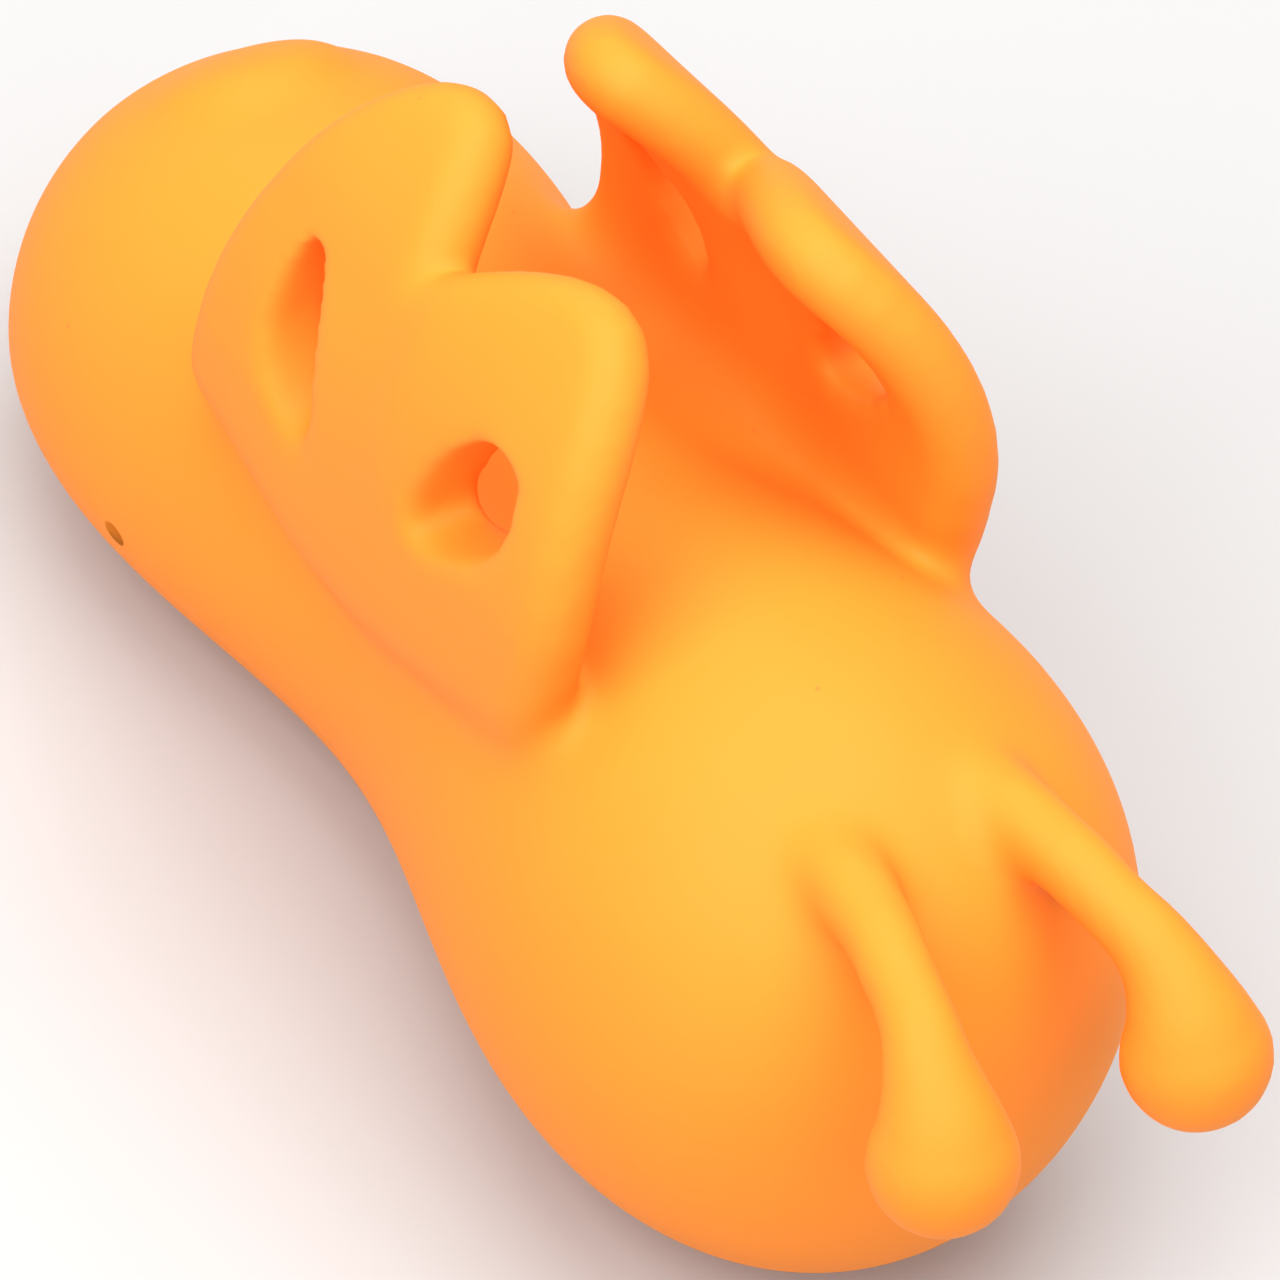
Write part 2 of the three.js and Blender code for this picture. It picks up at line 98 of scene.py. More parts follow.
# %% Camera
VIEW_RIGHT = Vector((0.5171, 0.8488, 0.1100))
VIEW_DOWN = Vector((0.6864, -0.3346, -0.6456))
VIEW_BACK = VIEW_RIGHT.cross(-VIEW_DOWN).normalized()
LONG_LENS = 366
CAMERA_DISTANCE = 0.7
target = (BODY_CENTRE + VIEW_RIGHT * 4.697 + VIEW_DOWN * 0.622) * 0.001

bpy.ops.object.camera_add(location=target + VIEW_BACK * CAMERA_DISTANCE)
camera = bpy.context.object
camera.name = "camera"
turn = Matrix((VIEW_RIGHT, -VIEW_DOWN, VIEW_BACK)).transposed()
camera.rotation_euler = turn.to_euler()
camera.data.sensor_width = 36
camera.data.lens = LONG_LENS
camera.data.clip_start = 0.05
camera.data.clip_end = 10
bpy.context.scene.camera = camera
print("camera at", [round(c, 3) for c in camera.location])

# %% [markdown]
# ## Light and floor
# Matte silicone shows its form through slow changes of tone, so the light is broad and soft.
# A large panel overhead gives the pale top surfaces, a second one shines on the near flank and
# between the wings, two weak ones fill the ends, and a pale floor and room send light back up
# into the hollows.

# %% Floor and light


def plain_material(name, colour, roughness):
    """A material of one flat colour, for things that aren't part of the object."""
    material = bpy.data.materials.new(name)
    material.use_nodes = True
    shader = material.node_tree.nodes["Principled BSDF"]
    shader.inputs["Base Color"].default_value = (*colour, 1)
    shader.inputs["Roughness"].default_value = roughness
    return material


bpy.ops.mesh.primitive_plane_add(size=4)
floor = bpy.context.object
floor.name = "floor"
floor.data.materials.append(plain_material("floor_paper", (0.52, 0.52, 0.52), 0.9))


def add_panel(name, place, size, power):
    """A square soft white light that faces the body."""
    bpy.ops.object.light_add(type="AREA", location=place)
    panel = bpy.context.object
    panel.name = name
    panel.data.size = size
    panel.data.energy = power
    facing = in_model(0, 0, 0) - panel.location
    panel.rotation_euler = facing.to_track_quat("-Z", "Y").to_euler()


add_panel("panel_overhead", (0, 0.05, 0.8), 0.7, 6.2)
add_panel("panel_near_side", (0.1, -0.6, 0.7), 0.6, 6)
add_panel("panel_front", (0.55, -0.05, 0.6), 0.6, 1.8)
add_panel("panel_behind", (-0.7, 0.2, 0.5), 0.5, 1)

world = bpy.data.worlds.new("soft_room")
bpy.context.scene.world = world
world.use_nodes = True
room = world.node_tree.nodes["Background"]
room.inputs["Color"].default_value = (1, 1, 1, 1)
room.inputs["Strength"].default_value = 0.42
bpy.context.scene.view_settings.view_transform = "Standard"

# %% [markdown]
# ## Working tools
# Edit-mode operators act on whatever is selected. These helpers clear the selection, choose
# vertices by their place, move or scale just those, and apply modifiers, so each later cell
# can read like the steps one takes by hand.

# %% Helpers for selecting and shaping


def only(piece):
    """Selects this one object and makes it active."""
    bpy.ops.object.select_all(action="DESELECT")
    piece.select_set(True)
    bpy.context.view_layer.objects.active = piece
    return piece


def pick(piece, wanted, faces=False):
    """In edit mode, selects the vertices, or faces, whose place passes the test."""
    bpy.ops.mesh.select_all(action="DESELECT")
    bpy.ops.mesh.select_mode(type="FACE" if faces else "VERT")
    shape = bmesh.from_edit_mesh(piece.data)
    if faces:
        for face in shape.faces:
            face.select_set(wanted(face.calc_center_median()))
    else:
        for vertex in shape.verts:
            vertex.select_set(wanted(vertex.co))
    shape.select_flush_mode()
    bmesh.update_edit_mesh(piece.data)


def apply_modifier(piece, kind, **settings):
    """Adds a modifier with these settings and applies it at once."""
    only(piece)
    modifier = piece.modifiers.new(kind.lower(), kind)
    for setting, value in settings.items():
        setattr(modifier, setting, value)
    bpy.ops.object.modifier_apply(modifier=modifier.name)


def apply_place(piece):
    """Moves an object's place, turn and size into its mesh."""
    only(piece)
    bpy.ops.object.transform_apply(location=True, rotation=True, scale=True)


def join(pieces, name):
    """Joins several objects into the first one."""
    only(pieces[0])
    for piece in pieces:
        piece.select_set(True)
    bpy.ops.object.join()
    pieces[0].name = name
    return pieces[0]


def other_side(piece, name):
    """A copy of a left-hand piece, mirrored to the right and turned outside out again."""
    only(piece)
    bpy.ops.object.duplicate()
    twin = bpy.context.object
    twin.name = name
    twin.scale = (1, -1, 1)
    apply_place(twin)
    bpy.ops.object.mode_set(mode="EDIT")
    bpy.ops.mesh.select_all(action="SELECT")
    bpy.ops.mesh.normals_make_consistent(inside=False)
    bpy.ops.object.mode_set(mode="OBJECT")
    return twin


print("helpers ready")

# %% [markdown]
# ## The body
# The body is a round form with two lobes and a waist. A ball laid on its side has rings of
# vertices across its axis. Each ring is scaled to the half width, top height and belly depth
# wanted at that place, as one would scale loops by hand to turn a ball into a peanut.

# %% Body form
BODY_HALF_LENGTH = 42.8
WAIST_AT, WAIST_SPREAD = -2.8, 21
RINGS, SECTORS = 72, 96


def body_section(x):
    """Half width, top height and belly depth of the body at x."""
    along = x / BODY_HALF_LENGTH
    fullness = max(1 - abs(along) ** 3.56, 0) ** (1 / 2.2)
    waist = math.exp(-(((x - WAIST_AT) / WAIST_SPREAD) ** 2))
    width = 19.8 * (1 + 0.038 * along) * (1 - 0.346 * waist)
    top = 20.5 * (1 + 0.048 * along) * (1 - 0.235 * waist)
    belly = 17.75 * (1 + 0.336 * along) * (1 - 0.149 * waist)
    return width * fullness, top * fullness, belly * fullness


def body_ball(inset, name):
    """The body's closed form, with its surface this far inside the outer one."""
    bpy.ops.mesh.primitive_uv_sphere_add(
        segments=SECTORS, ring_count=RINGS, radius=1, rotation=(0, math.pi / 2, 0)
    )
    ball = bpy.context.object
    ball.name = name
    apply_place(ball)
    bpy.ops.object.mode_set(mode="EDIT")
    for ring in range(1, RINGS):
        at = math.cos(ring / RINGS * math.pi)
        radius = math.sin(ring / RINGS * math.pi)
        outer_sizes = body_section(at * BODY_HALF_LENGTH)
        width, top, belly = (size - inset * radius for size in outer_sizes)
        for side, height in ((1, top), (-1, belly)):
            pick(ball, lambda p: abs(p.x - at) < 1e-4 and side * p.z > 1e-4)
            bpy.ops.transform.resize(
                value=(1, width / radius, height / radius), center_override=(at, 0, 0)
            )
        pick(ball, lambda p: abs(p.x - at) < 1e-4 and abs(p.z) <= 1e-4)
        bpy.ops.transform.resize(value=(1, width / radius, 1), center_override=(at, 0, 0))
    bpy.ops.mesh.select_all(action="SELECT")
    bpy.ops.transform.resize(value=(BODY_HALF_LENGTH - inset, 1, 1), center_override=(0, 0, 0))
    bpy.ops.object.mode_set(mode="OBJECT")
    return ball


body_form = body_ball(0, "body_form")
print("body form, mm:", [round(d, 1) for d in body_form.dimensions])

# %% [markdown]
# ## The wings
# Each wing is a thick sheet with a fully round edge, cupped inward towards its top. The sheet
# is made the way one would in clay: a bent plate, cut to the outline, with a round bead laid
# along its edge. The bead's radius is half the plate's thickness, so the two meet smoothly. The
# outline is two lobes, drawn with curves that have handles, as in a drawing program.

# %% Wing surface and outline
WING_HALF_THICKNESS = 2.2
WING_OUT = 12.6
CUP_FROM = CUP_RADIUS = 19.5
TUCK_FROM, TUCK_RADIUS, TUCK_DEPTH = 12.6, 7, 6


def ramp(value):
    """The value, held between 0 and 1."""
    return min(max(value, 0), 1)


def wing_side(x, z):
    """How far out the middle of the wing's sheet is, at this place seen from the side."""
    if z > CUP_FROM:
        curl = CUP_RADIUS - math.sqrt(CUP_RADIUS**2 - (z - CUP_FROM) ** 2)
    else:
        tuck_from = TUCK_FROM + 3 * ramp((x - 2) / 15) + 3.2 * ramp((-4 - x) / 9)
        below = min(tuck_from - min(z, tuck_from), TUCK_DEPTH)
        curl = TUCK_RADIUS - math.sqrt(TUCK_RADIUS**2 - below**2)
    rear_turn = 1.6 * ramp((4.5 - x) / 18) ** 0.6 * ramp((z - 18) / 9)
    return WING_OUT - curl - rear_turn


def smooth_run(points, steps=8):
    """Points along a chain of Bezier curves, given as start, handle, handle, end, handle..."""
    run = [Vector(points[0])]
    for i in range(0, len(points) - 1, 3):
        a, b, c, d = (Vector(p) for p in points[i : i + 4])
        for step in range(1, steps + 1):
            t = step / steps
            run.append(
                a * (1 - t) ** 3 + b * 3 * t * (1 - t) ** 2 + c * 3 * t * t * (1 - t) + d * t**3
            )
    return run


rear_lobe = smooth_run(
    [
        (-16, 7.6), (-14.6, 11), (-13.1, 14.6), (-12.5, 18.6),
        (-11.6, 23.8), (-10.5, 27.6), (-8.7, 30.5),
        (-7, 33.2), (-4.5, 35.2), (-2.5, 34.4),
        (-1, 33.2), (-0.4, 31.8), (0.3, 30.5),
        (0.7, 29.7), (1.1, 29.1), (1.7, 28.6),
    ]
)
front_lobe = smooth_run(
    [
        (1.7, 28.6), (2.3, 28.9), (3.1, 29.3), (4, 29.8),
        (6.9, 31.8), (10.8, 34.3), (13.7, 33.6),
        (16.9, 32.7), (18.9, 26.6), (18.6, 21.2),
        (18.2, 17.6), (16.8, 13.6), (16.3, 7),
    ]
)
wing_outline = rear_lobe + front_lobe[1:]
print("wing outline points:", len(wing_outline))

# %% [markdown]
# ## The wing's plate
# The plate starts as an upright grid. The points outside the outline are deleted first, the
# rest are pushed out to the wing's curved surface, and Solidify gives the sheet its thickness.
# Trimming before bending keeps the rim square to the sheet.

# %% Wing plate, trimmed to the outline and bent


def inside(outline, x, z):
    """True where a side view place is within the closed outline."""
    crossings = 0
    for (x1, z1), (x2, z2) in zip(outline, outline[1:] + outline[:1]):
        if (z1 > z) != (z2 > z) and x < x1 + (z - z1) / (z2 - z1) * (x2 - x1):
            crossings += 1
    return crossings % 2 == 1


GRID_LENGTH, GRID_HEIGHT, GRID_MIDDLE = 40, 28, 21.2
bpy.ops.mesh.primitive_grid_add(
    x_subdivisions=100, y_subdivisions=70, size=1, rotation=(math.pi / 2, 0, 0)
)
wing_left = bpy.context.object
wing_left.name = "wing_left_form"
wing_left.scale = (GRID_LENGTH, GRID_HEIGHT, 1)
wing_left.location = (0, 0, GRID_MIDDLE)
apply_place(wing_left)
bpy.ops.object.mode_set(mode="EDIT")
pick(wing_left, lambda p: not inside(wing_outline, p.x, p.z))
bpy.ops.mesh.delete(type="VERT")
bpy.ops.object.mode_set(mode="OBJECT")
for vertex in wing_left.data.vertices:
    vertex.co.y = wing_side(vertex.co.x, vertex.co.z)
apply_modifier(
    wing_left, "SOLIDIFY", thickness=2 * WING_HALF_THICKNESS, offset=0, use_even_offset=True
)
print("wing plate, mm:", [round(d, 1) for d in wing_left.dimensions])

# %% [markdown]
# ## The bead and the foot roll
# A round rod along the outline gives the wing its full, round edge. A second, shorter rod lies
# in the corner between the wing and the body, like a roll of clay pressed in before smoothing.
# Both are paths with a round profile, turned into meshes.

# %% Round bead along the wing's edge


def round_rod(points, radii, name, sides=24):
    """A round rod through these points, with a radius at each."""
    bpy.ops.curve.primitive_nurbs_path_add()
    rod = bpy.context.object
    rod.name = name
    rod.data.splines.clear()
    spline = rod.data.splines.new("POLY")
    spline.points.add(len(points) - 1)
    for point, place, radius in zip(spline.points, points, radii):
        point.co = (*place, 1)
        point.radius = radius
    rod.data.dimensions = "3D"
    rod.data.bevel_depth = 1
    rod.data.bevel_resolution = sides // 4
    rod.data.use_fill_caps = True
    only(rod)
    bpy.ops.object.convert(target="MESH")
    return bpy.context.object


edge_line = [Vector((x, wing_side(x, z), z)) for x, z in wing_outline]
bead = round_rod(edge_line, [WING_HALF_THICKNESS] * len(edge_line), "wing_bead")
roll_line = [(-13, 9.8, 11.8), (-10, 9, 11.6), (-2, 8.7, 11.2), (4, 8.9, 11.7), (9, 10.2, 12)]
foot_roll = round_rod(roll_line, [1.4, 2.6, 3, 2.9, 1.6], "foot_roll")
wing_left = join([wing_left, bead, foot_roll], "wing_left_form")
print("wing with its bead, mm:", [round(d, 1) for d in wing_left.dimensions])

# %% [markdown]
# ## The openings in the wings
# Two teardrop openings go through each wing, like the cells of a butterfly's wing. Each is cut
# with a prism in the shape of the opening. The prism narrows towards the inner face and towards
# one upper corner, so the opening's lower wall slopes like the side of a bowl.

# %% Opening cutters


def closed_prism(outline, from_y, to_y, name):
    """A solid with this side outline (X and Z), between two depths in Y."""
    bpy.ops.mesh.primitive_circle_add(vertices=len(outline), radius=1, fill_type="NGON")
    prism = bpy.context.object
    prism.name = name
    for vertex, (x, z) in zip(prism.data.vertices, outline):
        vertex.co = (x, from_y, z)
    bpy.ops.object.mode_set(mode="EDIT")
    bpy.ops.mesh.select_all(action="SELECT")
    bpy.ops.mesh.extrude_region_move(
        TRANSFORM_OT_translate={"value": (0, to_y - from_y, 0)}
    )
    bpy.ops.mesh.select_all(action="SELECT")
    bpy.ops.mesh.normals_make_consistent(inside=False)
    bpy.ops.object.mode_set(mode="OBJECT")
    return prism


CUTTER_OUTER, CUTTER_INNER = 16.5, 4.5
NARROWING = 0.6
FRONT_CORNER, REAR_CORNER = (14.5, 27.2), (-5.4, 28)


def opening_cutter(outline, corner, name):
    """A closed cutter through the wing, which narrows inward towards this corner (x, z)."""
    cutter = closed_prism(outline, CUTTER_OUTER, CUTTER_INNER, name)
    only(cutter)
    bpy.ops.object.mode_set(mode="EDIT")
    pick(cutter, lambda p: p.y < CUTTER_INNER + 0.5)
    bpy.ops.transform.resize(
        value=(NARROWING, 1, NARROWING), center_override=(corner[0], CUTTER_INNER, corner[1])
    )
    bpy.ops.object.mode_set(mode="OBJECT")
    return cutter


front_opening = smooth_run(
    [
        (7, 19.8), (7, 17.6), (13.2, 20.8), (15, 23.4),
        (16.4, 25.6), (15.8, 28.9), (13.4, 29),
        (10.6, 29.1), (8.3, 25.5), (7.6, 22.9),
        (7.2, 21.5), (7, 20.7), (7, 19.8),
    ],
    6,
)[:-1]
rear_opening = smooth_run(
    [
        (-3.2, 16.4), (-2, 16.8), (-2.4, 20), (-3.3, 23),
        (-4.2, 25.6), (-5.4, 28.2), (-6.5, 28.1),
        (-7.7, 27.9), (-8.4, 24), (-8, 21),
        (-7.5, 18.4), (-4.8, 16), (-3.2, 16.4),
    ],
    6,
)[:-1]
cutters = [
    opening_cutter(front_opening, FRONT_CORNER, "front_cutter"),
    opening_cutter(rear_opening, REAR_CORNER, "rear_cutter"),
]
print("opening cutters:", [c.name for c in cutters])

# %% [markdown]
# ## The antennae
# An antenna is a stalk that rises out of the top of the front lobe, arches past the nose and
# ends in a ball. A rod with a changing radius gives the stalk and the teardrop taper into the
# ball. A few places are listed, and a smooth curve is run through them.

# %% Antenna
BULB_RADIUS = 4.02
antenna_points = [
    ((28, 3.9, 10.8), 2.6),
    ((31.5, 4.3, 12.6), 2.7),
    ((34.2, 4.8, 13.6), 2.65),
    ((36.7, 5.15, 14), 2.45),
    ((39.1, 5.5, 14.05), 2.2),
    ((41.5, 5.95, 13.8), 2.05),
    ((43.75, 6.35, 13.3), 1.98),
    ((45.9, 6.85, 12.7), 2.12),
    ((47.4, 7.25, 11.6), 2.45),
    ((48.5, 7.45, 10.4), 2.95),
    ((49.4, 7.6, 9), 3.55),
    ((50.05, 7.75, 7.2), 4.12),
]


def through(points, steps=6):
    """A smooth run of places and radii through the given ones."""
    ends = [points[0], *points, points[-1]]
    run = []
    for i in range(1, len(ends) - 2):
        quad = [Vector((*p, r)) for p, r in ends[i - 1 : i + 3]]
        for step in range(steps):
            t = step / steps
            bend = 2 * quad[0] - 5 * quad[1] + 4 * quad[2] - quad[3]
            twist = 3 * quad[1] - quad[0] - 3 * quad[2] + quad[3]
            run.append(
                0.5 * (2 * quad[1] + (quad[2] - quad[0]) * t + bend * t**2 + twist * t**3)
            )
    run.append(Vector((*points[-1][0], points[-1][1])))
    return [p.xyz for p in run], [p.w for p in run]


places, radii = through(antenna_points)
stalk = round_rod(places, radii, "antenna_left_form", sides=32)
bpy.ops.mesh.primitive_uv_sphere_add(
    segments=48, ring_count=32, radius=BULB_RADIUS, location=antenna_points[-1][0]
)
bulb = bpy.context.object
apply_place(bulb)
antenna_left = join([stalk, bulb], "antenna_left_form")
print("antenna, mm:", [round(d, 1) for d in antenna_left.dimensions])

# %% [markdown]
# ## The button
# The push button is a soft pad on the slope of the tail, felt more than seen. It is a flattened
# ball, tipped to the slope and buried until only a shallow dome stands out.

# %% Button dome
BUTTON_SEAT = Vector((-34, 0, 14.75))
BUTTON_TILT = math.radians(38)
BUTTON_OUTWARD = Vector((-math.sin(BUTTON_TILT), 0, math.cos(BUTTON_TILT)))
DOME_SIZE = (5.8, 5.8, 1.9)
DOME_BURIED = 1.35
bpy.ops.mesh.primitive_uv_sphere_add(segments=64, ring_count=32, radius=1)
button_form = bpy.context.object
button_form.name = "button_form"
button_form.scale = DOME_SIZE
button_form.rotation_euler = (0, -BUTTON_TILT, 0)
button_form.location = BUTTON_SEAT - BUTTON_OUTWARD * DOME_BURIED
apply_place(button_form)
print("button dome, mm:", [round(d, 1) for d in button_form.dimensions])

# %% [markdown]
# ## One smooth form
# The separate forms overlap. A voxel remesh fuses them into one closed surface of even, tiny
# squares. The openings are cut through it, and a second remesh makes the cut walls even too.

# %% Fuse the forms
wing_right = other_side(wing_left, "wing_right_form")
antenna_right = other_side(antenna_left, "antenna_right_form")
skin = join(
    [body_form, wing_left, wing_right, antenna_left, antenna_right, button_form], "skin_form"
)
VOXEL = 0.42
apply_modifier(skin, "REMESH", mode="VOXEL", voxel_size=VOXEL, use_smooth_shade=True)
print("fused form:", len(skin.data.vertices), "vertices")

# %% Cut the openings through
for cutter in cutters:
    twin = other_side(cutter, cutter.name + "_right")
    for tool in (cutter, twin):
        apply_modifier(skin, "BOOLEAN", operation="DIFFERENCE", object=tool, solver="EXACT")
        bpy.data.objects.remove(tool)
apply_modifier(skin, "REMESH", mode="VOXEL", voxel_size=VOXEL, use_smooth_shade=True)
print("with openings:", len(skin.data.vertices), "vertices")

# %% [markdown]
# ## Fillets
# Smoothing is given only where the real casting has a fillet. A vertex group says how strongly:
# full on a line that runs along the corner, and fading to nothing at the fillet's reach. The
# wide curves of the body and wings are already smooth, and are left nearly alone. Smoothing
# also shrinks what bulges, so at the front of a wing's foot the outside is put back each time.

# %% Tools for fillets


def mark(piece, name, strength):
    """Gives a piece a vertex group that holds strength(place), and lists its vertices."""
    group = piece.vertex_groups.new(name=name)
    marked = []
    for vertex in piece.data.vertices:
        amount = strength(vertex.co)
        if amount > 0.01:
            group.add([vertex.index], min(amount, 1), "REPLACE")
            marked.append(vertex)
    return marked


def soften(piece, name, strength, repeat):
    """Smooths a piece where strength(place) is above zero."""
    mark(piece, name, strength)
    apply_modifier(piece, "SMOOTH", factor=0.5, iterations=repeat, vertex_group=name)
    piece.vertex_groups.remove(piece.vertex_groups[name])


def fill_corner(piece, name, strength, rounds):
    """Fills an inside corner smoothly. Whatever a round shaves off the outside is put back."""
    start = {v.index: (v.co.copy(), v.normal.copy()) for v in mark(piece, name, strength)}
    for _ in range(rounds):
        apply_modifier(piece, "SMOOTH", factor=0.5, iterations=20, vertex_group=name)
        for index, (was, outward) in start.items():
            if (piece.data.vertices[index].co - was).dot(outward) < 0:
                piece.data.vertices[index].co = was
    piece.vertex_groups.remove(piece.vertex_groups[name])


def line_of(points, steps=8):
    """A search tree of places along a line, each with the reach of its fillet."""
    stops = [Vector(p) for p in points]
    runs = [a.lerp(b, i / steps) for a, b in zip(stops, stops[1:]) for i in range(steps)]
    tree = kdtree.KDTree(len(runs))
    for index, stop in enumerate(runs):
        tree.insert(stop.xyz, index)
    tree.balance()
    return tree, [stop.w for stop in runs]


def fading_from(line, fall=1):
    """1 on the line, on both sides of the body, and 0 beyond its reach."""
    tree, reaches = line

    def strength(p):
        _, index, away = tree.find(Vector((p.x, abs(p.y), p.z)))
        return max(1 - (away / reaches[index]) ** 2, 0) ** fall

    return strength


print("fillet tools ready")

# %% Fillets where the forms meet
inner_foot = line_of(
    [
        (-16.5, 10, 12.8, 4), (-12, 8.9, 12.4, 7.5), (-2, 8.2, 12, 10), (4, 8.6, 12.4, 9.5),
        (8, 9.6, 13, 7), (12, 11, 13, 3.5),
    ]
)
front_foot = line_of([(6, 10, 12.6, 5), (12, 11.2, 13, 5), (18, 12.2, 12.6, 4)])
outer_foot = line_of(
    [
        (-20, 10.5, 12.6, 3), (-13.5, 11.8, 8.8, 3), (-7.3, 11.9, 6.6, 3),
        (-2, 12, 6, 3), (5.9, 12.6, 7.4, 3), (12.8, 13.4, 9.8, 3),
        (18.4, 13.4, 12.6, 3), (20.4, 12.2, 14, 3), (19.8, 10.6, 15, 3),
    ]
)
antenna_foot = line_of(
    [(31, 4.6, 16.6, 5), (34, 5.1, 15, 6), (37, 5.6, 13, 6), (38.5, 6, 12, 4)]
)


def opening_rim(outline, corner, out, narrowed, reach):
    """A line round an opening, this far out, narrowed by a share towards its corner."""
    rim = [
        (x + narrowed * (corner[0] - x), out, z + narrowed * (corner[1] - z), reach)
        for x, z in outline
    ]
    return line_of(rim, 1)


opening_rims = [
    opening_rim(front_opening, FRONT_CORNER, 14.6, 0, 2.6),
    opening_rim(rear_opening, REAR_CORNER, 14.4, 0, 2.6),
    opening_rim(front_opening, FRONT_CORNER, 10.4, 0.2, 2.2),
    opening_rim(rear_opening, REAR_CORNER, 9.8, 0.2, 2.2),
]
soften(skin, "inner_foot", fading_from(inner_foot, 1.5), 220)
fill_corner(skin, "front_foot", fading_from(front_foot), 5)
soften(skin, "outer_foot", fading_from(outer_foot), 34)
soften(skin, "antenna_foot", fading_from(antenna_foot), 60)
for number, line in enumerate(opening_rims):
    soften(skin, f"opening_{number}", fading_from(line), 30)
soften(skin, "button_foot", lambda p: 1 - ((p - BUTTON_SEAT).length / 9) ** 4, 60)
soften(skin, "everywhere", lambda p: 1, 4)
print("fillets done,", len(skin.data.vertices), "vertices")

# %% [markdown]
# ## Onto the ground, and into metres
# The drawing is now turned to its resting tilt. The belly is cut flat where it stands, which
# makes the two small rest faces, and the whole is scaled to metres, where the CAD parts are.

# %% Rest faces and real size
skin.matrix_world = drawing_to_model
apply_place(skin)
bpy.ops.object.mode_set(mode="EDIT")
bpy.ops.mesh.select_all(action="SELECT")
bpy.ops.mesh.bisect(
    plane_co=(0, 0, 0), plane_no=(0, 0, 1), use_fill=True, clear_inner=True, threshold=1e-5
)
bpy.ops.object.mode_set(mode="OBJECT")
skin.scale = (0.001, 0.001, 0.001)
apply_place(skin)
bpy.ops.object.shade_smooth()
print("skin, m:", [round(d, 4) for d in skin.dimensions])

# %% Note the surface directions of the whole skin
skin_normals = kdtree.KDTree(len(skin.data.vertices))
normal_at = [vertex.normal.copy() for vertex in skin.data.vertices]
for vertex in skin.data.vertices:
    skin_normals.insert(vertex.co, vertex.index)
skin_normals.balance()
print("directions noted:", len(normal_at))

# %% [markdown]
# ## Parting the skin where it bends
# The wings, the antennae and the button move, so each becomes a piece of its own. A flat cut
# near the hinge gives two matching rims. The rims are ripped apart, the loose part is separated
# and both openings are closed inside.

# %% Tools for parting the skin


def part_off(piece, cut_at, cut_facing, reach, beyond, name):
    """Parts off what lies past a flat cut. Only faces within reach of the cut are cut."""
    only(piece)
    bpy.ops.object.mode_set(mode="EDIT")
    pick(piece, reach, faces=True)
    bpy.ops.mesh.bisect(plane_co=cut_at, plane_no=cut_facing, threshold=1e-8)
    bpy.ops.mesh.select_mode(type="EDGE")
    bpy.ops.mesh.edge_split(type="EDGE")
    shape = bmesh.from_edit_mesh(piece.data)
    start = min(shape.verts, key=lambda v: (v.co - beyond).length_squared)
    bpy.ops.mesh.select_all(action="DESELECT")
    bpy.ops.mesh.select_mode(type="VERT")
    start.select_set(True)
    bmesh.update_edit_mesh(piece.data)
    bpy.ops.mesh.select_linked()
    bpy.ops.mesh.separate(type="SELECTED")
    bpy.ops.object.mode_set(mode="OBJECT")
    parted = next(o for o in bpy.context.selected_objects if o is not piece)
    parted.name = name
    return parted


def close_openings(piece):
    """Fills every open rim of a piece."""
    only(piece)
    bpy.ops.object.mode_set(mode="EDIT")
    bpy.ops.mesh.select_all(action="SELECT")
    bpy.ops.mesh.fill_holes(sides=0)
    bpy.ops.object.mode_set(mode="OBJECT")


print("parting tools ready")

# %% Part off the wings, antennae and button
SIDES = ((1, "left"), (-1, "right"))
WING_CUT = 17.5
up_in_model = (in_model(0, 0, 1) - in_model(0, 0, 0)).normalized()


def antenna_cut(side):
    """Where an antenna is parted, in the model."""
    return in_model(40.2, side * 5.7, 13.95)


soft_pieces = {}
for side, word in SIDES:
    cut_at = in_model(0, side * 12, WING_CUT)
    soft_pieces[f"wing_{word}"] = part_off(
        skin,
        cut_at,
        up_in_model,
        lambda p: side * p.y > 0.0065 and abs((p - cut_at).dot(up_in_model)) < 0.002
        and abs(p.x - cut_at.x) < 0.027,
        in_model(-2.5, side * 8, 35),
        f"soft_wing_{word}",
    )
    along = (in_model(41.5, side * 5.95, 13.8) - in_model(39.1, side * 5.5, 14.05)).normalized()
    cut_at = antenna_cut(side)
    soft_pieces[f"antenna_{word}"] = part_off(
        skin,
        cut_at,
        along,
        lambda p: (p - cut_at).length < 0.0042,
        in_model(51, side * 8, 4),
        f"soft_antenna_{word}",
    )
BUTTON_CUT_BELOW = 0.25
button_outward = (drawing_to_model.to_3x3() @ BUTTON_OUTWARD).normalized()
button_cut = in_model(*(BUTTON_SEAT - BUTTON_OUTWARD * BUTTON_CUT_BELOW))
soft_pieces["button_pad"] = part_off(
    skin,
    button_cut,
    button_outward,
    lambda p: (p - button_cut).length < 0.008,
    in_model(*(BUTTON_SEAT + BUTTON_OUTWARD)),
    "soft_button",
)
skin.name = "soft_skin"
soft_pieces["silicone_skin"] = skin
for node, piece in soft_pieces.items():
    close_openings(piece)
    print(f"{piece.name}: {len(piece.data.vertices)} vertices")

# %% [markdown]
# ## The hollow inside the skin
# The skin is a shell over the hard core. Its inner wall is the body's form again, set in by the
# skin's thickness and turned inside out. The charging pinhole is bored through the right flank.

# %% Inner wall and pinhole
SKIN_THICKNESS = 2.2
PINHOLE_AT = (-20.6, -17.5, -2.7)
PINHOLE_RADIUS = 0.8
drawing_to_metres = Matrix.Scale(0.001, 4) @ drawing_to_model

